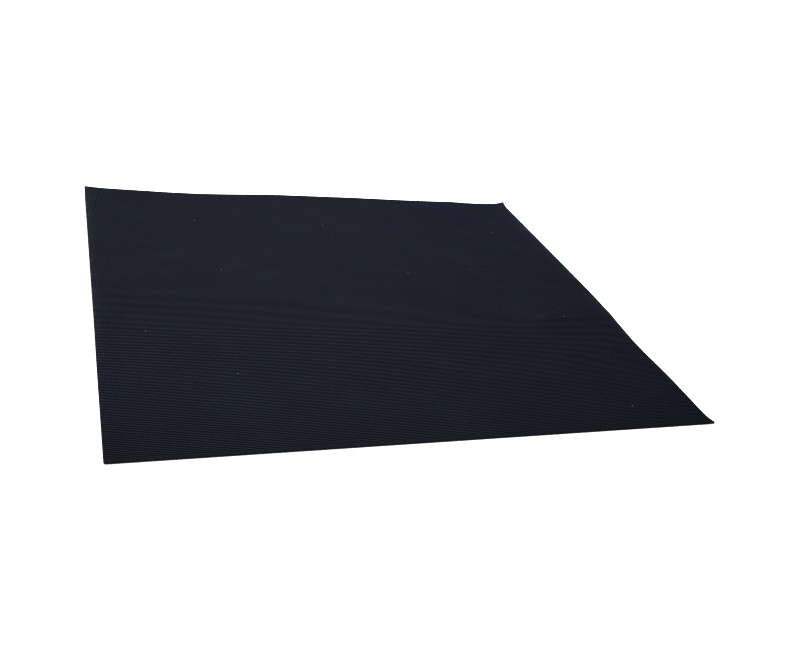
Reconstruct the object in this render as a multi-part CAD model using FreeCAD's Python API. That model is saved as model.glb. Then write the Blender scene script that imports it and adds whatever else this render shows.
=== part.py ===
import FreeCAD, Part
import os

# Seedling heat mat: a thin laminated sheet that lies on a bench and warms the trays on top of it.
# Two PVC-coated woven covers are welded together all round. Sealed between them lie a reflector
# foil and a printed heating element: resistive strips between two copper busbars, with a
# polyester film below and above. Two leads run along the far side to a low inlet housing under
# the mat, where a thermal cut-off and the terminals for a two-core supply cord sit.
#
# Millimetres. +X runs along the near edge to the right, +Y away from it and +Z up. The origin is
# on the bench, under the middle of the mat. The near part of the mat lies flat on the bench, then
# a soft crease across the whole width lifts the far part onto the inlet housing.

# Outline and layers, from the underside up
WIDTH = 508.0
LENGTH = 508.0
CORNER_RADIUS = 2.0
COVER = 0.40
FOIL = 0.10
FILM = 0.10
ELEMENT = 0.10

FOIL_UNDER = COVER
LOWER_FILM_UNDER = FOIL_UNDER + FOIL
ELEMENT_UNDER = LOWER_FILM_UNDER + FILM
UPPER_FILM_UNDER = ELEMENT_UNDER + ELEMENT
TOP_COVER_UNDER = UPPER_FILM_UNDER + FILM

# The crease along Y: a soft foot, an even slope, and a tighter bend at the crest
CREASE_START = -140.0
CREASE_FOOT = 24.0
CREASE_SLOPE = 40.0
CREASE_CREST = 8.0
RISE = 4.5
FOOT_FACETS = 8
CREST_FACETS = 6

# Margins inside the outline
SEAL_WIDTH = 12.0
FILM_CLEARANCE = 1.0
FOIL_CLEARANCE = 4.0
ELEMENT_CLEARANCE = 6.0

# Heating element
STRIP_COUNT = 30
STRIP_WIDTH = 10.0
STRIP_PITCH = 15.0
BUSBAR_WIDTH = 10.0
LEAD_WIDTH = 8.0

# Terminals: both stand at TERMINAL_Y, one each side of the middle
TERMINAL_Y = 228.0
TERMINAL_X = 12.0
TAB = (6.0, 9.0, 0.5)
BARREL_RADIUS = 1.2
CORE_RADIUS = 0.5
BARREL_LENGTH = 8.0
BARREL_BITE = 0.05
EYELET_RADIUS = 1.0
EYELET_BORE = 0.7
EYELET_FLANGE = 1.7
EYELET_FOOT = 0.15
FLANGE_HOLE = 1.8

# Windows in the layers over the terminals: half width, then near and far ends along Y
COVER_WINDOW = (18.0, 221.0, 240.0)
FILM_WINDOW = (18.0, 222.0, 234.0)
FOIL_NOTCH = (24.0, 216.0, LENGTH / 2)

# Inlet housing on the underside
HOUSING_HALF_WIDTH = 26.0
HOUSING_Y = (216.0, 250.0)
HOUSING_WALL = 2.5
HOUSING_FLOOR = 0.9
HOUSING_CORNER = 4.0
HOUSING_FOOT_ROUND = 0.6
SEAL_THICKNESS = 0.3

# Bush for a flat two-core cord, in the housing's far wall
BUSH_HOLE = (5.6, 2.6)
BUSH_WALL = 0.4
BUSH_LIP = 0.8
BUSH_LIP_LENGTH = 1.2
BUSH_CENTRE_Z = 2.2

# Thermal cut-off, with one leg in the live terminal and one in a splice sleeve
CUTOFF_SIZE = (8.0, 5.5, 2.0)
CUTOFF_GAP = 2.0
CUTOFF_DROP = 0.3
SPLICE_X = -17.0
SPLICE_DROP = 1.5
LEG_GRIP = 2.0

HALF_WIDTH = WIDTH / 2
HALF_LENGTH = LENGTH / 2
FAR_UNDERSIDE = RISE


SLOPE_START = CREASE_START + CREASE_FOOT
SLOPE_END = SLOPE_START + CREASE_SLOPE
CREASE_END = SLOPE_END + CREASE_CREST
STEEPNESS = RISE / (CREASE_FOOT / 2 + CREASE_SLOPE + CREASE_CREST / 2)


def smooth_rise(y):
    """How high the underside stands over the bench at y, along the crease's smooth curve."""
    if y <= CREASE_START:
        return 0.0
    if y <= SLOPE_START:
        return STEEPNESS * (y - CREASE_START) ** 2 / (2 * CREASE_FOOT)
    if y <= SLOPE_END:
        return STEEPNESS * (CREASE_FOOT / 2 + y - SLOPE_START)
    if y <= CREASE_END:
        return RISE - STEEPNESS * (CREASE_END - y) ** 2 / (2 * CREASE_CREST)
    return RISE


def divided(start, length, count):
    """The ends of count equal stretches along Y."""
    return [start + length * i / count for i in range(count + 1)]


FACET_ENDS = (
    divided(CREASE_START, CREASE_FOOT, FOOT_FACETS) + divided(SLOPE_END, CREASE_CREST, CREST_FACETS)
)


def underside(y):
    """The same height on the crease's flat facets, so that every layer touches the next."""
    for start, end in zip(FACET_ENDS, FACET_ENDS[1:]):
        if start <= y <= end:
            share = (y - start) / (end - start)
            return smooth_rise(start) * (1.0 - share) + smooth_rise(end) * share
    return smooth_rise(y)


def layer(x_range, y_range, under, thickness):
    """A rectangle of one layer that follows the crease, under being its height in the mat."""
    near, far = y_range
    stations = [near] + [y for y in FACET_ENDS if near < y < far] + [far]
    x = x_range[0]
    lower = [FreeCAD.Vector(x, y, underside(y) + under) for y in stations]
    upper = [FreeCAD.Vector(x, v.y, v.z + thickness) for v in reversed(lower)]
    outline = Part.makePolygon(lower + upper + lower[:1])
    return Part.Face(outline).extrude(FreeCAD.Vector(x_range[1] - x, 0, 0))


def centred_layer(margin, under, thickness):
    """A layer that stops a margin short of the outline on all four sides."""
    half_x = HALF_WIDTH - margin
    half_y = HALF_LENGTH - margin
    return layer((-half_x, half_x), (-half_y, half_y), under, thickness)


def block(x_range, y_range, z_range):
    corner = FreeCAD.Vector(x_range[0], y_range[0], z_range[0])
    return Part.makeBox(
        x_range[1] - x_range[0], y_range[1] - y_range[0], z_range[1] - z_range[0], corner
    )


def upright_edges(shape):
    """The vertical edges of a block."""
    return [e for e in shape.Edges if abs(e.tangentAt(e.FirstParameter).z) > 0.99]


def rounded_outline():
    """A block with the mat's outline and rounded corners, taller than the mat."""
    tall = block((-HALF_WIDTH, HALF_WIDTH), (-HALF_LENGTH, HALF_LENGTH), (-1.0, 10.0))
    return tall.makeFillet(CORNER_RADIUS, upright_edges(tall))


def window(half_width, near, far):
    """A block that cuts a window through every layer."""
    return block((-half_width, half_width), (near, far), (0.0, 10.0))


def post(x, y, radius, z_range):
    """An upright cylinder."""
    foot = FreeCAD.Vector(x, y, z_range[0])
    return Part.makeCylinder(radius, z_range[1] - z_range[0], foot)


def rod(x, z, radius, y_range):
    """A cylinder along Y."""
    start = FreeCAD.Vector(x, y_range[0], z)
    return Part.makeCylinder(radius, y_range[1] - y_range[0], start, FreeCAD.Vector(0, 1, 0))


def crimp_barrel(x, z, y_range):
    return rod(x, z, BARREL_RADIUS, y_range).cut(rod(x, z, CORE_RADIUS, y_range))


def terminal_sides():
    """The live terminal's x, then the neutral one's."""
    return (-TERMINAL_X, TERMINAL_X)


# Covers and the weld between them

def top_cover():
    return centred_layer(0.0, TOP_COVER_UNDER, COVER).common(rounded_outline())


def bottom_cover():
    cover = centred_layer(0.0, 0.0, COVER).common(rounded_outline())
    return cover.cut(window(*COVER_WINDOW))


def edge_seal():
    height = TOP_COVER_UNDER - COVER
    whole = centred_layer(0.0, COVER, height).common(rounded_outline())
    return whole.cut(centred_layer(SEAL_WIDTH, COVER, height))


# Films and foil

def reflector_foil():
    foil = centred_layer(SEAL_WIDTH + FOIL_CLEARANCE, FOIL_UNDER, FOIL)
    return foil.cut(window(*FOIL_NOTCH))


def lower_film():
    film = centred_layer(SEAL_WIDTH + FILM_CLEARANCE, LOWER_FILM_UNDER, FILM)
    return film.cut(window(*FILM_WINDOW))


def upper_film():
    film = centred_layer(SEAL_WIDTH + FILM_CLEARANCE, UPPER_FILM_UNDER, FILM)
    for x in terminal_sides():
        film = film.cut(post(x, TERMINAL_Y, FLANGE_HOLE, (0.0, 10.0)))
    return film


# Heating element

BUSBAR_OUTER = HALF_WIDTH - SEAL_WIDTH - ELEMENT_CLEARANCE
BUSBAR_INNER = BUSBAR_OUTER - BUSBAR_WIDTH
LEAD_FAR = TERMINAL_Y + LEAD_WIDTH / 2
STRIPS_START = -(HALF_LENGTH - SEAL_WIDTH - ELEMENT_CLEARANCE) + BUSBAR_WIDTH / 2


def heating_strips():
    strips = []
    for i in range(STRIP_COUNT):
        near = STRIPS_START + STRIP_PITCH * i
        strip = layer((-BUSBAR_INNER, BUSBAR_INNER), (near, near + STRIP_WIDTH), ELEMENT_UNDER, ELEMENT)
        strips.append(strip)
    return Part.makeCompound(strips)


def busbar(side):
    """The busbar on the left (side -1) or the right (side 1)."""
    ends = sorted((side * BUSBAR_INNER, side * BUSBAR_OUTER))
    return layer(ends, (STRIPS_START, LEAD_FAR), ELEMENT_UNDER, ELEMENT)


def lead(side):
    """The lead from a busbar to the terminal on the same side."""
    inner = side * (TERMINAL_X - TAB[0] / 2)
    ends = sorted((side * BUSBAR_INNER, inner))
    strip = layer(ends, (LEAD_FAR - LEAD_WIDTH, LEAD_FAR), ELEMENT_UNDER, ELEMENT)
    return strip.cut(post(side * TERMINAL_X, TERMINAL_Y, EYELET_RADIUS, (0.0, 10.0)))


# Terminals and cut-off

TAB_TOP = FAR_UNDERSIDE + ELEMENT_UNDER
TAB_BOTTOM = TAB_TOP - TAB[2]
TAB_FAR = TERMINAL_Y + TAB[1] / 2
BARREL_Z = TAB_BOTTOM + BARREL_BITE - BARREL_RADIUS
BARREL_Y = (TAB_FAR - 2.2, TAB_FAR - 2.2 + BARREL_LENGTH)
CUTOFF_Y = BARREL_Y[1] + CUTOFF_GAP
CUTOFF_TOP = FAR_UNDERSIDE - CUTOFF_DROP
SPLICE_Z = FAR_UNDERSIDE - SPLICE_DROP


def terminal(x):
    """A crimp terminal: a tab under the lead, with a barrel for one core of the cord."""
    tab = block(
        (x - TAB[0] / 2, x + TAB[0] / 2), (TAB_FAR - TAB[1], TAB_FAR), (TAB_BOTTOM, TAB_TOP)
    )
    tab = tab.cut(post(x, TERMINAL_Y, EYELET_RADIUS, (TAB_BOTTOM, TAB_TOP)))
    return tab.fuse(crimp_barrel(x, BARREL_Z, BARREL_Y)).removeSplitter()


def eyelet(x):
    """A hollow rivet that clamps a lead to its terminal."""
    lead_top = TAB_TOP + ELEMENT
    shank = post(x, TERMINAL_Y, EYELET_RADIUS, (TAB_BOTTOM - EYELET_FOOT, lead_top + FILM))
    foot = post(x, TERMINAL_Y, EYELET_FLANGE, (TAB_BOTTOM - EYELET_FOOT, TAB_BOTTOM))
    head = post(x, TERMINAL_Y, EYELET_FLANGE, (lead_top, lead_top + FILM))
    bore = post(x, TERMINAL_Y, EYELET_BORE, (0.0, 10.0))
    return shank.fuse([foot, head]).cut(bore).removeSplitter()


def eyelets():
    return Part.makeCompound([eyelet(x) for x in terminal_sides()])


def thermal_cutoff():
    """A flat cut-off in the live side, with two straight legs towards the terminals."""
    wide, deep, tall = CUTOFF_SIZE
    middle = (SPLICE_X - TERMINAL_X) / 2
    body = block(
        (middle - wide / 2, middle + wide / 2),
        (CUTOFF_Y, CUTOFF_Y + deep),
        (CUTOFF_TOP - tall, CUTOFF_TOP),
    )
    body = body.makeFillet(0.5, upright_edges(body))
    inside = CUTOFF_Y + 1.0
    live_leg = rod(-TERMINAL_X, BARREL_Z, CORE_RADIUS, (BARREL_Y[1] - LEG_GRIP, inside))
    cord_leg = rod(SPLICE_X, SPLICE_Z, CORE_RADIUS, (BARREL_Y[1] - 2 * LEG_GRIP, inside))
    return body.fuse([live_leg, cord_leg]).removeSplitter()


def splice_sleeve():
    """The crimp sleeve that joins the cut-off to the cord's live core."""
    far = BARREL_Y[1] - LEG_GRIP
    return crimp_barrel(SPLICE_X, SPLICE_Z, (far - BARREL_LENGTH, far))


# Inlet

HOUSING_TOP = FAR_UNDERSIDE - SEAL_THICKNESS


def housing_cavity(z_range):
    near, far = HOUSING_Y
    half = HOUSING_HALF_WIDTH - HOUSING_WALL
    cavity = block((-half, half), (near + HOUSING_WALL, far - HOUSING_WALL), z_range)
    return cavity.makeFillet(HOUSING_CORNER - HOUSING_WALL, upright_edges(cavity))


def housing_block(z_range):
    whole = block((-HOUSING_HALF_WIDTH, HOUSING_HALF_WIDTH), HOUSING_Y, z_range)
    return whole.makeFillet(HOUSING_CORNER, upright_edges(whole))


def slot_rod(width, height, y_range):
    """A bar along Y with a flat oval section, centred on the bush."""
    half_flat = (width - height) / 2
    radius = height / 2
    flat = block(
        (-half_flat, half_flat), y_range, (BUSH_CENTRE_Z - radius, BUSH_CENTRE_Z + radius)
    )
    ends = [rod(x, BUSH_CENTRE_Z, radius, y_range) for x in (-half_flat, half_flat)]
    return flat.fuse(ends).removeSplitter()


def bush_outline(extra, y_range):
    return slot_rod(BUSH_HOLE[0] + 2 * extra, BUSH_HOLE[1] + 2 * extra, y_range)


def inlet_housing():
    housing = housing_block((0.0, HOUSING_TOP))
    foot = [e for e in housing.Edges if e.BoundBox.ZMax < 0.01]
    housing = housing.makeFillet(HOUSING_FOOT_ROUND, foot)
    housing = housing.cut(housing_cavity((HOUSING_FLOOR, HOUSING_TOP)))
    wall = (HOUSING_Y[1] - HOUSING_WALL, HOUSING_Y[1])
    return housing.cut(bush_outline(BUSH_WALL, wall))


def inlet_seal():
    levels = (HOUSING_TOP, FAR_UNDERSIDE)
    return housing_block(levels).cut(housing_cavity(levels))


def inlet_bush():
    wall = (HOUSING_Y[1] - HOUSING_WALL, HOUSING_Y[1])
    lip = (HOUSING_Y[1], HOUSING_Y[1] + BUSH_LIP_LENGTH)
    body = bush_outline(BUSH_WALL, wall).fuse(bush_outline(BUSH_LIP, lip))
    return body.cut(bush_outline(0.0, (wall[0], lip[1]))).removeSplitter()


NODES = {
    "top_cover": top_cover(),
    "bottom_cover": bottom_cover(),
    "edge_seal": edge_seal(),
    "reflector_foil": reflector_foil(),
    "lower_film": lower_film(),
    "upper_film": upper_film(),
    "heating_strips": heating_strips(),
    "busbar_left": busbar(-1),
    "busbar_right": busbar(1),
    "lead_live": lead(-1),
    "lead_neutral": lead(1),
    "terminal_live": terminal(-TERMINAL_X),
    "terminal_neutral": terminal(TERMINAL_X),
    "eyelets": eyelets(),
    "thermal_cutoff": thermal_cutoff(),
    "splice_sleeve": splice_sleeve(),
    "inlet_housing": inlet_housing(),
    "inlet_seal": inlet_seal(),
    "inlet_bush": inlet_bush(),
}

os.makedirs("parts", exist_ok=True)
for name, shape in NODES.items():
    shape.exportStep(f"parts/{name}.step")
    box = shape.BoundBox
    print(
        f"{name}: {len(shape.Solids)} solid(s), valid {shape.isValid()}, "
        f"{shape.Volume:.1f} mm3, z {box.ZMin:.2f} to {box.ZMax:.2f}"
    )
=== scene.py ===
import math

import bmesh
import bpy
import numpy as np
from mathutils import Matrix, Vector

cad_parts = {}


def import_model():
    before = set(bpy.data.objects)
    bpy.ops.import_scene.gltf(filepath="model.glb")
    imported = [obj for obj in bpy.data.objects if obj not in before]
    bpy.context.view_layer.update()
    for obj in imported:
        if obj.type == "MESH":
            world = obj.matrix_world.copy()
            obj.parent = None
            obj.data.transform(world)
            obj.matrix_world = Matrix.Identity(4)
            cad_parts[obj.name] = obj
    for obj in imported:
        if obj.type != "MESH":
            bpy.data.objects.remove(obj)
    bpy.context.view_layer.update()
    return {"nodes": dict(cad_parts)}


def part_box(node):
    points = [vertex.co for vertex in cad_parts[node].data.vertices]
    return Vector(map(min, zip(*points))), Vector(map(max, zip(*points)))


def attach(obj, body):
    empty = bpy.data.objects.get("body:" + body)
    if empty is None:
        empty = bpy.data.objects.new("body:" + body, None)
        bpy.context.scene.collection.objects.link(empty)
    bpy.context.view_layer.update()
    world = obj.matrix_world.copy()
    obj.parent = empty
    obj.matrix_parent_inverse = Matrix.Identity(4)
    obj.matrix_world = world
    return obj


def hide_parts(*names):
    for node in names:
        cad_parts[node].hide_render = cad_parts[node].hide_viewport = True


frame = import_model()

# Sizes from the frame, in metres. The mat lies on z = 0, centred on the origin. -Y is its near edge, and the
# inlet is under its far edge, at +Y.
MM = 0.001
TOP_LOW, TOP_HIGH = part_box("top_cover")
BOTTOM_LOW, BOTTOM_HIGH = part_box("bottom_cover")
HALF_WIDTH = TOP_HIGH.x
HALF_LENGTH = TOP_HIGH.y


# ---------------------------------------------------------------- how the mat lies

def designed_profile():
    """(y, z) of the mat's underside as designed, read along the bottom cover's left edge."""
    lowest = {}
    for v in frame["nodes"]["bottom_cover"].data.vertices:
        if v.co.x < BOTTOM_LOW.x + 0.01 * MM:
            y = round(v.co.y, 6)
            lowest[y] = min(lowest.get(y, 1.0), v.co.z)
    return np.array(sorted(lowest.items())).T


PROFILE_Y, PROFILE_Z = designed_profile()
RISE = float(PROFILE_Z.max())
COVER_THICKNESS = BOTTOM_HIGH.z - BOTTOM_LOW.z - RISE

# The crease comes a little later along the right edge: by SKEW there, and by nothing left of SKEW_FROM
SKEW = 20 * MM
SKEW_FROM = 90 * MM

# Lifted corners: (side in X, side in Y, lift, reach)
CURLS = (
    (-1, 1, 2.1 * MM, 36 * MM),
    (1, 1, 2.6 * MM, 16 * MM),
    (1, -1, 0.5 * MM, 14 * MM),
)

# Sags of the far edge, each side of the inlet housing: (centre, half width, depth)
SAGS = (
    (-135 * MM, 100 * MM, 2.1 * MM),
    (140 * MM, 100 * MM, 0.8 * MM),
    (222 * MM, 46 * MM, 1.5 * MM),
)
SAG_FROM = 54 * MM       # they die out by here

# Waves of the right edge: (centre, half length, rise), full at the edge and gone by WAVES_FROM
WAVES = (
    (-180 * MM, 55 * MM, 0.8 * MM),
    (-60 * MM, 60 * MM, -1.0 * MM),
)
WAVES_FROM = 140 * MM

# The near right corner is pulled out a little, towards +X
FLARE = 2.6 * MM
FLARE_REACH = 15 * MM


def designed_underside(y):
    return np.interp(y, PROFILE_Y, PROFILE_Z)


def smooth(t):
    """0 below t = 0, 1 above t = 1, and an even curve between."""
    t = np.clip(t, 0.0, 1.0)
    return t * t * (3.0 - 2.0 * t)


def hump(x, centre, half_width):
    """1 at the centre, falling smoothly to 0 half a width away."""
    t = np.clip(np.abs(x - centre) / half_width, 0.0, 1.0)
    return (1.0 - t * t) ** 2


def underside(x, y):
    """Height of the mat's underside over the bench where it really lies, with its crease, waves and curls."""
    lag = SKEW * smooth((x - SKEW_FROM) / (HALF_WIDTH - SKEW_FROM))
    z = designed_underside(y - lag)
    far = smooth((y - SAG_FROM) / (HALF_LENGTH - SAG_FROM))
    for centre, half_width, depth in SAGS:
        z = z - depth * hump(x, centre, half_width) * far
    right = smooth((x - WAVES_FROM) / (HALF_WIDTH - WAVES_FROM))
    z = z + sum(rise * hump(y, centre, half_length) for centre, half_length, rise in WAVES) * right
    for side_x, side_y, lift, reach in CURLS:
        d = np.hypot(x - side_x * HALF_WIDTH, y - side_y * HALF_LENGTH)
        z = z + lift * np.clip(1.0 - d / reach, 0.0, 1.0) ** 2
    return np.maximum(z, 0.0)


def flare(x, y):
    """How far the mat is pulled towards +X, which is only near the near right corner."""
    d = math.hypot(x - HALF_WIDTH, y + HALF_LENGTH)
    return FLARE * max(0.0, 1.0 - d / FLARE_REACH) ** 2


# ---------------------------------------------------------------- meshes

CORNER_RADIUS = 2 * MM
GRID_STEP = 4 * MM
GRID_INSET = 8 * MM      # the even grid starts this far in from the cut edges, with closer lines outside it
RIM = (0.0, 0.05 * MM, 0.15 * MM, 0.6 * MM, 1.5 * MM, 3.0 * MM, 5.0 * MM)
EDGE_DROP = 0.12 * MM    # how far a cover's faces fall away at its cut edge
EDGE_DROP_OVER = 0.15 * MM
WINDOW_GAP = 1 * MM      # grid lines nearer than this to a side of the window give way to it
FOLD_GAP = 0.4 * MM      # and the same for the folds of the crease, which lie within the next share
FOLDS_WITHIN = 0.9       # of the half length

# Where the layers between the covers are cut, so that they bend as the covers do
LAYER_STEP = 12 * MM
CREASE_ZONE = (-140 * MM, -44 * MM)    # in Y
CREASE_STEP = 4 * MM
CURL_STEP = 3 * MM
CURL_CUTS = 8
SAME_PLACE = 1e-6
SAME_PLANE = math.radians(0.05)


def stations(low, high, step):
    """Places from low to high, evenly about a step apart."""
    count = round((high - low) / step)
    return [low + (high - low) * i / count for i in range(count + 1)]


def rim_stations(half):
    """Places across the mat, close together by the cut edges."""
    inner = stations(-half + GRID_INSET, half - GRID_INSET, GRID_STEP)
    return [-half + r for r in RIM] + inner + [half - r for r in reversed(RIM)]


def new_piece(name, mesh):
    piece = bpy.data.objects.new(name, mesh)
    bpy.context.scene.collection.objects.link(piece)
    return piece


def stand_in(name, mesh, node):
    """A piece that is shown in place of one of the frame's nodes."""
    piece = new_piece(name, mesh)
    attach(piece, "root")
    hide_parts(node)
    return piece


def rounded_corner(x, y):
    """Moves a place in the square corner onto the rounded one."""
    a = (abs(x) - (HALF_WIDTH - CORNER_RADIUS)) / CORNER_RADIUS
    b = (abs(y) - (HALF_LENGTH - CORNER_RADIUS)) / CORNER_RADIUS
    if a <= 0 or b <= 0:
        return x, y
    pull = max(a, b) / math.hypot(a, b)
    return (
        math.copysign(HALF_WIDTH - CORNER_RADIUS * (1 - a * pull), x),
        math.copysign(HALF_LENGTH - CORNER_RADIUS * (1 - b * pull), y),
    )


def rim_drop(x, y):
    """How far the cover's face falls away at its cut edge, which is slightly rounded."""
    inset = min(HALF_WIDTH - abs(x), HALF_LENGTH - abs(y))
    t = max(0.0, 1.0 - inset / EDGE_DROP_OVER)
    return EDGE_DROP * t * t


def cover_grid(window):
    """Places of a cover's grid lines, with one along each side of the window and each fold of the crease."""
    xs, ys = rim_stations(HALF_WIDTH), rim_stations(HALF_LENGTH)
    if window:
        (x0, y0), (x1, y1) = window
        xs = sorted({x for x in xs if min(abs(x - x0), abs(x - x1)) > WINDOW_GAP} | {x0, x1})
        ys = sorted({y for y in ys if min(abs(y - y0), abs(y - y1)) > WINDOW_GAP} | {y0, y1})
    folds = set(PROFILE_Y[(PROFILE_Z > 0) & (PROFILE_Z < RISE)])
    fold_limit = FOLDS_WITHIN * HALF_LENGTH
    clear = {y for y in ys if np.abs(PROFILE_Y - y).min() > FOLD_GAP or abs(y) > fold_limit}
    return xs, sorted(clear | folds)


def cover(name, node, under, window=None):
    """A cover as one closed sheet with rounded cut edges, laid as the mat lies."""
    xs, ys = cover_grid(window)
    nx, ny = len(xs), len(ys)
    layer = nx * ny
    verts, faces = [], []
    for upper in (False, True):
        for y in ys:
            for x in xs:
                px, py = rounded_corner(x, y)
                drop = rim_drop(x, y)
                up = under + (COVER_THICKNESS - drop if upper else drop)
                verts.append((px + flare(px, py), py, float(underside(px, py)) + up))

    def kept(i, j):
        """Whether the grid's cell is part of the cover, and not outside it or in the window."""
        if not (0 <= i < nx - 1 and 0 <= j < ny - 1):
            return False
        if not window:
            return True
        (x0, y0), (x1, y1) = window
        cx, cy = (xs[i] + xs[i + 1]) / 2, (ys[j] + ys[j + 1]) / 2
        return not (x0 < cx < x1 and y0 < cy < y1)

    for j in range(ny - 1):
        for i in range(nx - 1):
            if not kept(i, j):
                continue
            a, b, c, d = j * nx + i, j * nx + i + 1, (j + 1) * nx + i + 1, (j + 1) * nx + i
            faces.append((a + layer, b + layer, c + layer, d + layer))
            faces.append((d, c, b, a))
            sides = ((a, b, 0, -1), (b, c, 1, 0), (c, d, 0, 1), (d, a, -1, 0))
            for p, q, step_i, step_j in sides:
                if not kept(i + step_i, j + step_j):
                    faces.append((p, q, q + layer, p + layer))
    mesh = bpy.data.meshes.new(name)
    mesh.from_pydata(verts, [], faces)
    mesh.validate()
    piece = stand_in(name, mesh, node)
    for p in mesh.polygons:
        p.use_smooth = True
    return piece


def laid_layer(name, node):
    """A copy of a layer between the covers, cut into strips so that it bends, laid as the mat lies."""
    bm = bmesh.new()
    bm.from_mesh(frame["nodes"][node].data)
    bmesh.ops.remove_doubles(bm, verts=bm.verts, dist=SAME_PLACE)
    bmesh.ops.dissolve_limit(bm, angle_limit=SAME_PLANE, verts=bm.verts, edges=bm.edges)
    low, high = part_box(node)
    crease = stations(*CREASE_ZONE, CREASE_STEP)
    curls = [side * (HALF_WIDTH - k * CURL_STEP) for side in (-1, 1) for k in range(1, CURL_CUTS + 1)]
    across = stations(low.x, high.x, LAYER_STEP) + [x for x in curls if low.x < x < high.x]
    along = stations(low.y, high.y, LAYER_STEP) + [y for y in curls + crease if low.y < y < high.y]
    cuts = [(Vector((x, 0, 0)), Vector((1, 0, 0))) for x in across]
    cuts += [(Vector((0, y, 0)), Vector((0, 1, 0))) for y in along]
    for place, normal in cuts:
        geometry = bm.verts[:] + bm.edges[:] + bm.faces[:]
        bmesh.ops.bisect_plane(bm, geom=geometry, plane_co=place, plane_no=normal, dist=SAME_PLACE)
    for v in bm.verts:
        v.co.z += float(underside(v.co.x, v.co.y) - designed_underside(v.co.y))
        v.co.x += flare(v.co.x, v.co.y)
    mesh = bpy.data.meshes.new(name)
    bm.to_mesh(mesh)
    bm.free()
    return stand_in(name, mesh, node)


# ---------------------------------------------------------------- building materials

NOISE_RANGE = (0.3, 0.7)    # fractal noise hardly leaves it


class Nodes:
    """Builds one material's nodes. Values are sockets, or numbers and colours where they are constant."""

    def __init__(self, name):
        self.material = bpy.data.materials.new(name)
        self.material.use_nodes = True
        self.tree = self.material.node_tree
        self.shader = self.tree.nodes["Principled BSDF"]

    def add(self, kind, **settings):
        node = self.tree.nodes.new(kind)
        for key, value in settings.items():
            setattr(node, key, value)
        return node

    def link(self, source, target):
        if isinstance(source, (int, float, tuple)):
            target.default_value = source
        else:
            self.tree.links.new(source, target)

    def math(self, operation, a, b=None, clamp=False):
        node = self.add("ShaderNodeMath", operation=operation, use_clamp=clamp)
        self.link(a, node.inputs[0])
        if b is not None:
            self.link(b, node.inputs[1])
        return node.outputs[0]

    def product(self, first, *others):
        for other in others:
            first = self.math("MULTIPLY", first, other)
        return first

    def place(self):
        return self.add("ShaderNodeTexCoord").outputs["Object"]

    def separate(self, vector):
        node = self.add("ShaderNodeSeparateXYZ")
        self.link(vector, node.inputs[0])
        return node.outputs

    def stretched(self, vector, scale, turn=0.0):
        """A place scaled along each axis, which draws a texture out where the scale is small."""
        node = self.add("ShaderNodeMapping", vector_type="POINT")
        node.inputs["Scale"].default_value = scale
        node.inputs["Rotation"].default_value = (0.0, 0.0, turn)
        self.link(vector, node.inputs["Vector"])
        return node.outputs[0]

    def noise(self, vector, scale, detail=2.0, roughness=0.5):
        node = self.add("ShaderNodeTexNoise")
        self.link(vector, node.inputs["Vector"])
        node.inputs["Scale"].default_value = scale
        node.inputs["Detail"].default_value = detail
        node.inputs["Roughness"].default_value = roughness
        return node.outputs["Fac"]

    def remap(self, value, low, high, to_low=0.0, to_high=1.0):
        node = self.add("ShaderNodeMapRange")
        self.link(value, node.inputs["Value"])
        for key, number in (("From Min", low), ("From Max", high), ("To Min", to_low), ("To Max", to_high)):
            node.inputs[key].default_value = number
        return node.outputs["Result"]

    def spread(self, noise, low=0.0, high=1.0):
        """Noise spread over the whole of a range."""
        return self.remap(noise, *NOISE_RANGE, low, high)

    def fade(self, where, factor):
        """1 where `where` is 0, and the factor where it is 1."""
        return self.remap(where, 0.0, 1.0, 1.0, factor)

    def mix_colour(self, factor, a, b, blend="MIX"):
        node = self.add("ShaderNodeMix", data_type="RGBA", blend_type=blend)
        colour_a, colour_b, colour_out = node.inputs[6], node.inputs[7], node.outputs[2]
        self.link(factor, node.inputs["Factor"])
        self.link(a, colour_a)
        self.link(b, colour_b)
        return colour_out

    def bump(self, height, distance, strength=1.0):
        node = self.add("ShaderNodeBump")
        node.inputs["Distance"].default_value = distance
        node.inputs["Strength"].default_value = strength
        self.link(height, node.inputs["Height"])
        return node.outputs["Normal"]

    def set(self, **values):
        for key, value in values.items():
            self.link(value, self.shader.inputs[key.replace("_", " ")])


# ---------------------------------------------------------------- the covers' fabric

# The weave: ribs that run away from the near edge, crossed by rows
RIBS_ACROSS = 400
ROWS_ALONG = 231
RIB_PITCH = 2 * HALF_WIDTH / RIBS_ACROSS
ROW_PITCH = 2 * HALF_LENGTH / ROWS_ALONG
ROW_DRIFT = 0.24 * MM       # how far a row wanders
ROW_FULLNESS = 5.0
ROW_MEAN = 0.340            # mean of |sin| to the power ROW_FULLNESS
SEALED_MARGIN = 4.5 * MM    # the weld presses the rows flat this far in from the near and far edges
SEALED_BLUR = 0.8 * MM
TWIST = 0.32 * MM           # spacing of the twisted filaments
TWIST_WOBBLE = 1.2          # how unevenly they are twisted, in radians
FIBRE_RELIEF = 0.12         # heights, as shares of the weave's own
FILAMENT_RELIEF = 0.14
RELIEF = 0.12 * MM
GROOVE_ROUGHNESS = 0.70
CROWN_ROUGHNESS = 0.50

# The fabric's colour in the grooves and on the crowns. The grooves' near-black is partly the coating's own
# dark tone and partly painted shade in them
DARK = (0.0002, 0.00025, 0.0004, 1.0)
LIGHT = (0.0304, 0.0364, 0.0696, 1.0)
LINT = (0.16, 0.15, 0.13, 1.0)
LINT_COVERS = 0.5
LINT_CELLS = 15.0           # per metre, of which about a fifth have a speck
LINT_EDGE = (0.008, 0.012)  # as shares of a cell
LINT_CHANCE = 0.78

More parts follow.
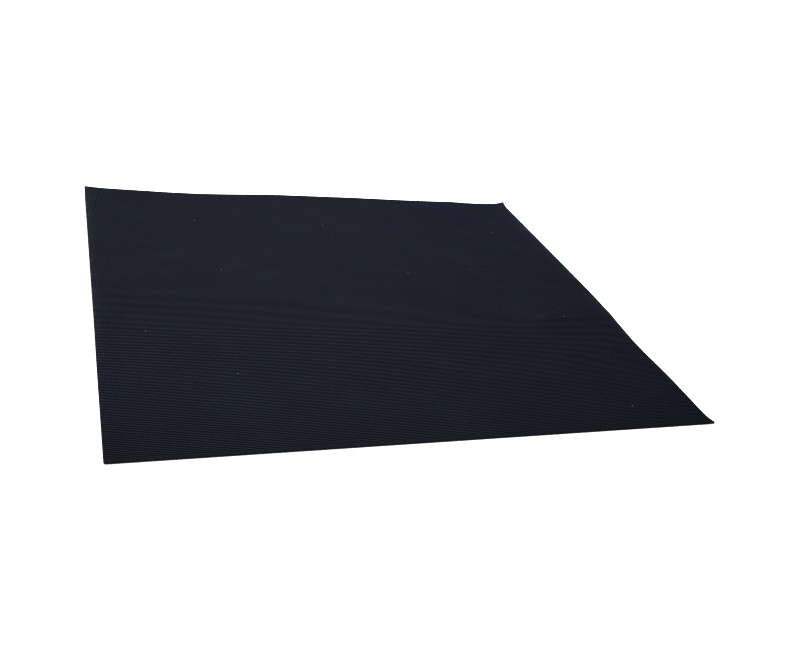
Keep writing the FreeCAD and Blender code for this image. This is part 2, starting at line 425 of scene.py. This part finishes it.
# How much it varies: (lowest, highest) factor on the shade or on a colour. A hue of 0.5 is unchanged.
RIB_SHADE = (0.12, 1.0)
FLOAT_SHADE = (0.74, 1.0)
FIBRE_SHADE = (0.62, 1.0)
FILAMENT_SHADE = (0.58, 1.0)
PATCH_VALUE = (0.90, 1.10)
PATCH_HUE = (0.474, 0.526)
PATCH_SATURATION = (0.93, 1.07)
PATCH_GREEN = (0.950, 1.045)

# Painted shade, from 0 to 1 between these places, towards the near right corner: the fabric there is made
# darker, redder, less blue and with fainter rows, as where less light falls
SHADED_NEAR_RIGHT_X = (-50 * MM, 240 * MM)
SHADED_NEAR_RIGHT_Y = (100 * MM, -200 * MM)
SHADED_NEAR_RIGHT_ROWS = 0.45
SHADED_NEAR_RIGHT_VALUE = 0.76
SHADED_NEAR_RIGHT_RED = 1.08
SHADED_NEAR_RIGHT_BLUE = 0.82

# Fabric that was rubbed, along the side edges, and less so at their near ends
SIDE_HEM = 10 * MM
SIDE_HEM_Y = (-HALF_LENGTH, 0.5 * HALF_LENGTH)
RUBBED_AT_NEAR_END = 0.25
RUBBED_VALUE = 2.1
RUBBED_RED = 1.35
RUBBED_BLUE = 0.80

# Other zones: where they start and where they reach the factor that is given with them
FAR_HALF_Y = (-100 * MM, 40 * MM)
FAR_HALF_ROWS = 0.45
# Painted shade: darker over the last 50 mm to the near edge, and more so towards the near left corner
NEAR_LEFT_X = (-170 * MM, -240 * MM)
NEAR_LEFT_Y = (-150 * MM, -250 * MM)
NEAR_LEFT_VALUE = 0.80
NEAR_EDGE_SHADE_Y = (-HALF_LENGTH + 50 * MM, -HALF_LENGTH)
NEAR_EDGE_SHADE_VALUE = 0.84
NEAR_HALF_Y = (0.0, -HALF_LENGTH)
NEAR_HALF_GREEN = 1.07
RIGHT_SIDE_X = (HALF_WIDTH - 20 * MM, HALF_WIDTH - 2 * MM)
RIGHT_SIDE_Y = (-160 * MM, -30 * MM)
RIGHT_SIDE_VALUE = 1.25

# The same, as distances in from the near and far edges
# Painted shade: the top face is made darker within a millimetre of the near and far cut edges
CUT_RIM = (1.0 * MM, 0.3 * MM)
CUT_RIM_VALUE = 0.5
END_HEM = (12 * MM, 0.0)
END_HEM_BLUE = 0.86


def rounded_wave(n, place, pitch, fullness):
    """A row of rounded ribs a pitch apart, 0 in the grooves and 1 on the crowns."""
    turns = n.product(place, math.pi / pitch)
    return n.math("POWER", n.math("ABSOLUTE", n.math("SINE", turns)), fullness)


def float_shade(n, x, row_place):
    """Each crossing of a rib and a row has its own shade."""
    cell = n.add("ShaderNodeCombineXYZ")
    n.link(n.math("FLOOR", n.math("DIVIDE", x, RIB_PITCH)), cell.inputs[0])
    n.link(n.math("FLOOR", n.math("DIVIDE", row_place, ROW_PITCH)), cell.inputs[1])
    yarn = n.add("ShaderNodeTexWhiteNoise", noise_dimensions="3D")
    n.link(cell.outputs[0], yarn.inputs["Vector"])
    return n.remap(yarn.outputs["Value"], 0.0, 1.0, *FLOAT_SHADE)


def woven_floats(n, place, x, y, from_end, shaded_near_right):
    """The weave alone (0 in the grooves, 1 on the crowns), and its shade and height with the fibres."""
    # The rows wander a little, as woven ones do
    along_rows = n.stretched(place, (0.2, 1.0, 1.0))
    drift = n.spread(n.noise(along_rows, scale=38.0, detail=1.0), -ROW_DRIFT, ROW_DRIFT)
    row_place = n.math("ADD", y, drift)

    open_weave = n.remap(from_end, SEALED_MARGIN - SEALED_BLUR, SEALED_MARGIN + SEALED_BLUR)
    far_rows = n.remap(y, *FAR_HALF_Y, 1.0, FAR_HALF_ROWS)
    # The rows are fainter towards the near right corner, in colour and relief, as part of its painted shade
    row_depth = n.product(open_weave, n.fade(shaded_near_right, SHADED_NEAR_RIGHT_ROWS), far_rows)
    # Ribs and rows darken the colour in their grooves: partly the coating's own tone, partly painted shade
    ribs = n.remap(rounded_wave(n, x, RIB_PITCH, 1.0), 0.0, 1.0, *RIB_SHADE)
    rows = rounded_wave(n, row_place, ROW_PITCH, ROW_FULLNESS)
    over_mean = n.product(n.math("SUBTRACT", rows, ROW_MEAN), row_depth)
    weave = n.product(ribs, n.math("ADD", over_mean, ROW_MEAN))

    # Twisted filaments along each float, with finer fibres that run the same way
    turn = 2 * math.pi / TWIST
    twist = n.math("ADD", n.product(x, turn), n.product(y, turn / 3))
    wobble = n.spread(n.noise(place, scale=900.0, detail=1.0), -TWIST_WOBBLE, TWIST_WOBBLE)
    filaments = n.remap(n.math("SINE", n.math("ADD", twist, wobble)), -1.0, 1.0)
    along_floats = n.stretched(place, (1.0, 0.22, 1.0))
    fibres = n.noise(along_floats, scale=7500.0, detail=2.0, roughness=0.7)

    shade = n.product(weave, float_shade(n, x, row_place), n.spread(fibres, *FIBRE_SHADE))
    shade = n.product(shade, n.remap(filaments, 0.0, 1.0, *FILAMENT_SHADE))
    height = n.math("ADD", weave, n.product(fibres, FIBRE_RELIEF))
    height = n.math("ADD", height, n.product(filaments, FILAMENT_RELIEF))
    return weave, shade, height


def rubbed_sides(n, place, x, y):
    """1 where the side edges are rubbed most, which is in patches and towards the far end."""
    from_side = n.math("SUBTRACT", HALF_WIDTH, n.math("ABSOLUTE", x))
    side_hem = n.math("POWER", n.remap(from_side, SIDE_HEM, 0.0), 2.0)
    far = n.remap(y, *SIDE_HEM_Y, RUBBED_AT_NEAR_END, 1.0)
    patches = n.spread(n.noise(place, scale=70.0, detail=3.0), 0.6, 1.0)
    return n.product(side_hem, far, patches)


def fabric_value(n, place, x, y, from_end, shaded_near_right, rubbed):
    """A factor on the fabric's brightness, for its patches, zones and hems, with painted shade at the cut
    rims, along the near edge and towards the near left and near right corners.
    """
    patches = n.spread(n.noise(place, scale=9.0, detail=4.0, roughness=0.6), *PATCH_VALUE)
    # Painted shade along the near and far cut edges
    rim_shade = n.remap(from_end, *CUT_RIM, 1.0, CUT_RIM_VALUE)
    # Painted shade along the near edge, deeper towards the near left corner
    near_left_shade = n.product(n.remap(x, *NEAR_LEFT_X), n.remap(y, *NEAR_LEFT_Y))
    near_edge_shade = n.remap(y, *NEAR_EDGE_SHADE_Y, 1.0, NEAR_EDGE_SHADE_VALUE)
    near_edge_shade = n.product(near_edge_shade, n.fade(near_left_shade, NEAR_LEFT_VALUE))
    right_side = n.product(n.remap(x, *RIGHT_SIDE_X), n.remap(y, *RIGHT_SIDE_Y))
    value = n.product(patches, rim_shade, n.product(n.fade(shaded_near_right, SHADED_NEAR_RIGHT_VALUE), near_edge_shade))
    return n.product(value, n.fade(rubbed, RUBBED_VALUE), n.fade(right_side, RIGHT_SIDE_VALUE))


def dye_tint(n, place, y, from_end, shaded_near_right, rubbed):
    """A tint for the dye, which is not quite even, and is greyer where the fabric is worn. Redder and less
    blue towards the near right corner is painted shade.
    """
    green_patches = n.spread(n.noise(place, scale=17.0, detail=3.0), *PATCH_GREEN)
    end_hem = n.remap(from_end, *END_HEM, 1.0, END_HEM_BLUE)
    # Red up and blue down towards the near right corner are painted shade; along the rubbed sides they are
    # wear
    channels = {
        "Red": n.product(n.fade(shaded_near_right, SHADED_NEAR_RIGHT_RED), n.fade(rubbed, RUBBED_RED)),
        "Green": n.product(green_patches, n.remap(y, *NEAR_HALF_Y, 1.0, NEAR_HALF_GREEN)),
        "Blue": n.product(n.fade(shaded_near_right, SHADED_NEAR_RIGHT_BLUE), end_hem, n.fade(rubbed, RUBBED_BLUE)),
    }
    tint = n.add("ShaderNodeCombineColor", mode="RGB")
    for channel, value in channels.items():
        n.link(value, tint.inputs[channel])
    return tint.outputs["Color"]


def lint_specks(n, place):
    """1 on the specks of lint, and 0 elsewhere."""
    specks = n.add("ShaderNodeTexVoronoi", voronoi_dimensions="2D", feature="F1")
    n.link(place, specks.inputs["Vector"])
    specks.inputs["Scale"].default_value = LINT_CELLS
    near = n.remap(specks.outputs["Distance"], *LINT_EDGE, 1.0, 0.0)
    chance, _, _ = n.separate(specks.outputs["Color"])
    return n.product(near, n.math("GREATER_THAN", chance, LINT_CHANCE))


def cover_material():
    """Coated ribbed fabric: rounded, twisted floats in rows with painted shade in their grooves, an uneven
    dye, worn hems, painted shade at the cut rims, along the near edge and towards the near corners, and lint.
    """
    n = Nodes("cover_weave")
    place = n.place()
    x, y, _ = n.separate(place)
    from_end = n.math("SUBTRACT", HALF_LENGTH, n.math("ABSOLUTE", y))
    # Painted shade towards the near right corner: 1 there, 0 elsewhere
    shaded_near_right = n.product(n.remap(x, *SHADED_NEAR_RIGHT_X), n.remap(y, *SHADED_NEAR_RIGHT_Y))
    rubbed = rubbed_sides(n, place, x, y)
    weave, shade, height = woven_floats(n, place, x, y, from_end, shaded_near_right)

    patchy = n.add("ShaderNodeHueSaturation")
    n.link(n.mix_colour(shade, DARK, LIGHT), patchy.inputs["Color"])
    n.link(fabric_value(n, place, x, y, from_end, shaded_near_right, rubbed), patchy.inputs["Value"])
    hue = n.spread(n.noise(place, scale=30.0, detail=4.0, roughness=0.65), *PATCH_HUE)
    n.link(hue, patchy.inputs["Hue"])
    saturation = n.spread(n.noise(place, scale=21.0, detail=3.0, roughness=0.6), *PATCH_SATURATION)
    n.link(saturation, patchy.inputs["Saturation"])
    tint = dye_tint(n, place, y, from_end, shaded_near_right, rubbed)
    dyed = n.mix_colour(1.0, patchy.outputs["Color"], tint, blend="MULTIPLY")
    lint = n.product(lint_specks(n, place), LINT_COVERS)

    n.set(Base_Color=n.mix_colour(lint, dyed, LINT),
          Roughness=n.remap(weave, 0.0, 1.0, GROOVE_ROUGHNESS, CROWN_ROUGHNESS),
          Normal=n.bump(height, RELIEF, strength=0.8))
    n.shader.inputs["Specular IOR Level"].default_value = 0.02
    return n.material


def cut_edge_material():
    """The cut edge of the laminate: dark, with the coats' fine lines and a slight fray."""
    coat_spacing = 0.13 * MM
    n = Nodes("cut_edge")
    place = n.place()
    _, _, z = n.separate(place)
    coats = n.remap(n.math("SINE", n.product(z, 2 * math.pi / coat_spacing)), -1.0, 1.0, 0.6, 1.0)
    fray = n.noise(place, scale=2600.0, detail=3.0, roughness=0.6)
    tone = n.remap(n.product(coats, n.spread(fray, 0.5, 1.0)), 0.3, 1.0)
    dark, light = (0.0015, 0.0016, 0.0020, 1.0), (0.0060, 0.0066, 0.0085, 1.0)
    n.set(Base_Color=n.mix_colour(tone, dark, light),
          Roughness=n.spread(fray, 0.65, 0.85),
          Normal=n.bump(fray, 0.03 * MM, strength=0.7))
    n.shader.inputs["Specular IOR Level"].default_value = 0.08
    return n.material


# ---------------------------------------------------------------- the other materials

def plain_material(name, colour, roughness, metallic, grain, grain_depth):
    """A moulded, printed or rolled surface: one colour with slight mottling and a fine grain."""
    mottling = 0.08
    roughening = 0.06
    n = Nodes(name)
    place = n.place()
    tone = n.add("ShaderNodeHueSaturation")
    n.link((*colour, 1.0), tone.inputs["Color"])
    n.link(n.spread(n.noise(place, scale=60.0, detail=4.0), 1 - mottling, 1 + mottling), tone.inputs["Value"])
    fine = n.noise(place, scale=grain, detail=3.0, roughness=0.6)
    n.set(Base_Color=tone.outputs["Color"],
          Roughness=n.spread(fine, roughness - roughening, roughness + roughening),
          Normal=n.bump(fine, grain_depth))
    n.shader.inputs["Metallic"].default_value = metallic
    return n.material


def moulded_material(name, colour, roughness, rubbed_below):
    """Moulded rubber with a spark-eroded face, rubbed paler where it slides on the bench."""
    n = Nodes(name)
    place = n.place()
    _, _, z = n.separate(place)
    spark = n.add("ShaderNodeTexVoronoi", feature="SMOOTH_F1")
    n.link(place, spark.inputs["Vector"])
    spark.inputs["Scale"].default_value = 1900.0
    pits = n.remap(spark.outputs["Distance"], 0.0, 0.7)

    # Scratches all one way, over an even scuffing, where it is rubbed
    drawn = n.stretched(place, (0.05, 1.0, 1.0), turn=math.radians(24))
    scratches = n.remap(n.noise(drawn, scale=1400.0, detail=2.0, roughness=0.7), 0.56, 0.68)
    rubbed_patches = n.remap(n.noise(place, scale=120.0, detail=3.0), 0.35, 0.65, 0.25, 1.0)
    rubbed = n.product(n.remap(z, rubbed_below, 0.0), rubbed_patches)
    scratched, scuffed = 0.32, 0.10
    scuffs = n.math("ADD", n.product(scratches, scratched), scuffed)
    marks = n.math("MULTIPLY", rubbed, scuffs, clamp=True)

    darker, paler = (*(0.75 * c for c in colour), 1.0), (0.060, 0.060, 0.062, 1.0)
    mottled = n.mix_colour(n.spread(n.noise(place, scale=90.0, detail=4.0)), darker, (*colour, 1.0))
    height = n.math("SUBTRACT", pits, n.product(marks, 0.6))
    n.set(Base_Color=n.mix_colour(marks, mottled, paler),
          Roughness=n.remap(pits, 0.0, 1.0, roughness - 0.12, roughness + 0.10),
          Normal=n.bump(height, 0.05 * MM, strength=0.8))
    n.shader.inputs["Specular IOR Level"].default_value = 0.25
    return n.material


# ---------------------------------------------------------------- camera, floor, light

def camera():
    place = Vector((-278.37, -836.95, 427.09)) * MM
    target = Vector((100.41, -64.15, 0.0)) * MM
    roll = math.radians(11.363)
    data = bpy.data.cameras.new("camera")
    data.lens = 43.79
    data.sensor_width = 36.0
    data.shift_x = -0.10
    data.clip_end = 100.0
    cam = bpy.data.objects.new("camera", data)
    bpy.context.scene.collection.objects.link(cam)
    look = (target - place).to_track_quat("-Z", "Y")
    cam.rotation_mode = "QUATERNION"
    cam.location = place
    cam.rotation_quaternion = look @ Matrix.Rotation(roll, 3, "Z").to_quaternion()
    bpy.context.scene.camera = cam


def floor():
    """A white floor that shines a little itself, a hair under the mat, and doesn't light it."""
    half = 30.0
    gap = 0.02 * MM
    glow = 0.45
    corners = [(-half, -half, 0), (half, -half, 0), (half, half, 0), (-half, half, 0)]
    mesh = bpy.data.meshes.new("floor")
    mesh.from_pydata(corners, [], [(0, 1, 2, 3)])
    plane = new_piece("floor", mesh)
    plane.location.z = -gap
    n = Nodes("floor")
    n.set(Base_Color=(0.90, 0.90, 0.90, 1.0), Roughness=0.9)
    n.shader.inputs["Specular IOR Level"].default_value = 0.0
    n.shader.inputs["Emission Color"].default_value = (1.0, 1.0, 1.0, 1.0)
    n.shader.inputs["Emission Strength"].default_value = glow
    # From below, the floor lets the underside be seen
    side = n.add("ShaderNodeNewGeometry")
    clear = n.add("ShaderNodeBsdfTransparent")
    mix = n.add("ShaderNodeMixShader")
    n.link(side.outputs["Backfacing"], mix.inputs[0])
    n.link(n.shader.outputs[0], mix.inputs[1])
    n.link(clear.outputs[0], mix.inputs[2])
    n.link(mix.outputs[0], n.tree.nodes["Material Output"].inputs[0])
    mesh.materials.append(n.material)
    plane.visible_diffuse = False
    plane.visible_glossy = False
    plane.visible_shadow = False


def new_light(name, kind, energy, direction):
    data = bpy.data.lights.new(name, kind)
    data.energy = energy
    lamp = bpy.data.objects.new(name, data)
    bpy.context.scene.collection.objects.link(lamp)
    lamp.rotation_mode = "QUATERNION"
    lamp.rotation_quaternion = direction.to_track_quat("-Z", "Y")
    return lamp


def sun():
    """Soft light from above, and a little from behind."""
    lamp = new_light("sun", "SUN", energy=1.5, direction=Vector((0.25, -0.35, -1.0)))
    lamp.data.angle = math.radians(40.0)


def back_softbox():
    """A slightly blue softbox behind the mat, aimed at its centre."""
    place = Vector((0.1, 0.85, 1.25))
    lamp = new_light("back_softbox", "AREA", energy=34.0, direction=-place)
    lamp.location = place
    lamp.data.shape = "SQUARE"
    lamp.data.size = 1.0
    lamp.data.color = (0.86, 0.93, 1.0)


def world():
    """White behind everything. Its light comes from overhead, and from below as off a white floor."""
    # The height in the sky where each light starts, the height where it is full, and its strength
    overhead = (0.25, 0.95, 0.6)
    below = (-0.05, -0.5, 1.2)
    least = 0.01
    w = bpy.data.worlds.new("studio")
    bpy.context.scene.world = w
    w.use_nodes = True
    nodes, links = w.node_tree.nodes, w.node_tree.links
    seen = nodes["Background"]
    seen.inputs["Color"].default_value = (1.0, 1.0, 1.0, 1.0)
    lit = nodes.new("ShaderNodeBackground")
    place = nodes.new("ShaderNodeTexCoord")
    axes = nodes.new("ShaderNodeSeparateXYZ")
    total = nodes.new("ShaderNodeMath")
    links.new(place.outputs["Generated"], axes.inputs[0])
    for slot, (start, full, strength) in enumerate((overhead, below)):
        rise = nodes.new("ShaderNodeMapRange")
        rise.interpolation_type = "SMOOTHSTEP"
        rise.inputs["From Min"].default_value = start
        rise.inputs["From Max"].default_value = full
        rise.inputs["To Min"].default_value = least
        rise.inputs["To Max"].default_value = strength
        links.new(axes.outputs[2], rise.inputs["Value"])
        links.new(rise.outputs[0], total.inputs[slot])
    lit.inputs["Color"].default_value = (0.92, 0.95, 1.0, 1.0)
    links.new(total.outputs[0], lit.inputs["Strength"])
    path = nodes.new("ShaderNodeLightPath")
    mix = nodes.new("ShaderNodeMixShader")
    links.new(path.outputs["Is Camera Ray"], mix.inputs[0])
    links.new(lit.outputs[0], mix.inputs[1])
    links.new(seen.outputs[0], mix.inputs[2])
    links.new(mix.outputs[0], nodes["World Output"].inputs[0])


def picture():
    """Plain colours, and a picture sharp enough to keep the weave, which denoising would smooth away."""
    scene = bpy.context.scene
    scene.view_settings.view_transform = "Standard"
    scene.cycles.use_denoising = False
    scene.cycles.filter_width = 1.2


camera()
floor()
world()
sun()
back_softbox()
picture()

# ---------------------------------------------------------------- pieces

def cover_window():
    """The lowest and highest places in X and Y of the bottom cover's window, which is over the terminals."""
    # Only the window has vertices in this part of the cover
    side = 100 * MM
    nearest, farthest = 100 * MM, HALF_LENGTH - 5 * MM
    corners = [
        v.co for v in frame["nodes"]["bottom_cover"].data.vertices
        if abs(v.co.x) < side and nearest < v.co.y < farthest
    ]
    low = (min(c.x for c in corners), min(c.y for c in corners))
    high = (max(c.x for c in corners), max(c.y for c in corners))
    return low, high


def dress_cover(piece):
    """Gives a cover its fabric, and the cut edge's material where it is upright."""
    for material in COVER_MATERIALS:
        piece.data.materials.append(material)
    for p in piece.data.polygons:
        p.material_index = 1 if abs(p.normal.z) < 0.5 else 0


def recolour(node, material):
    """Gives one of the frame's own nodes a material."""
    o = frame["nodes"][node]
    o.data.materials.clear()
    o.data.materials.append(material)


COVER_MATERIALS = (cover_material(), cut_edge_material())
top = cover("heated_cover", "top_cover", TOP_LOW.z)
base = cover("under_cover", "bottom_cover", 0.0, cover_window())
for piece in (top, base):
    dress_cover(piece)

# Layers between the covers. A material is (slot, colour, roughness, metallic).
LAYER_GRAIN = (900.0, 0.01 * MM)    # scale, depth
WELD = ("weld", (0.008, 0.009, 0.012), 0.6, 0.0)
FOIL = ("foil", (0.78, 0.79, 0.80), 0.32, 1.0)
FILM = ("film", (0.62, 0.50, 0.26), 0.25, 0.0)
CARBON_INK = ("carbon_ink", (0.02, 0.02, 0.022), 0.65, 0.0)
COPPER = ("copper", (0.80, 0.42, 0.27), 0.3, 1.0)
LAYERS = {
    "edge_seal": WELD,
    "reflector_foil": FOIL,
    "lower_film": FILM,
    "upper_film": FILM,
    "heating_strips": CARBON_INK,
    "busbar_left": COPPER,
    "busbar_right": COPPER,
    "lead_live": COPPER,
    "lead_neutral": COPPER,
}
layer_materials = {}
for node, (slot, colour, roughness, metallic) in LAYERS.items():
    if slot not in layer_materials:
        layer_materials[slot] = plain_material(slot, colour, roughness, metallic, *LAYER_GRAIN)
    piece = laid_layer("laid_" + node, node)
    piece.data.materials.clear()
    piece.data.materials.append(layer_materials[slot])

# The inlet's rubber parts: (colour, roughness, height below which it is rubbed)
NOT_RUBBED = 0.0001 * MM
MOULDED = {
    "inlet_housing": ((0.0100, 0.0102, 0.0115), 0.62, 0.6 * MM),
    "inlet_seal": ((0.0060, 0.0060, 0.0065), 0.72, NOT_RUBBED),
    "inlet_bush": ((0.0080, 0.0080, 0.0088), 0.68, NOT_RUBBED),
}
for node, looks in MOULDED.items():
    recolour(node, moulded_material(node, *looks))

# The inlet's other parts: (colour, roughness, metallic)
RIGID_GRAIN = (1500.0, 0.02 * MM)
TINNED_BRASS = ((0.72, 0.66, 0.50), 0.3, 1.0)
PALE_CASE = ((0.70, 0.68, 0.60), 0.5, 0.0)
RIGID = {
    "terminal_live": TINNED_BRASS,
    "terminal_neutral": TINNED_BRASS,
    "eyelets": TINNED_BRASS,
    "thermal_cutoff": PALE_CASE,
    "splice_sleeve": TINNED_BRASS,
}
for node, looks in RIGID.items():
    recolour(node, plain_material(node, *looks, *RIGID_GRAIN))
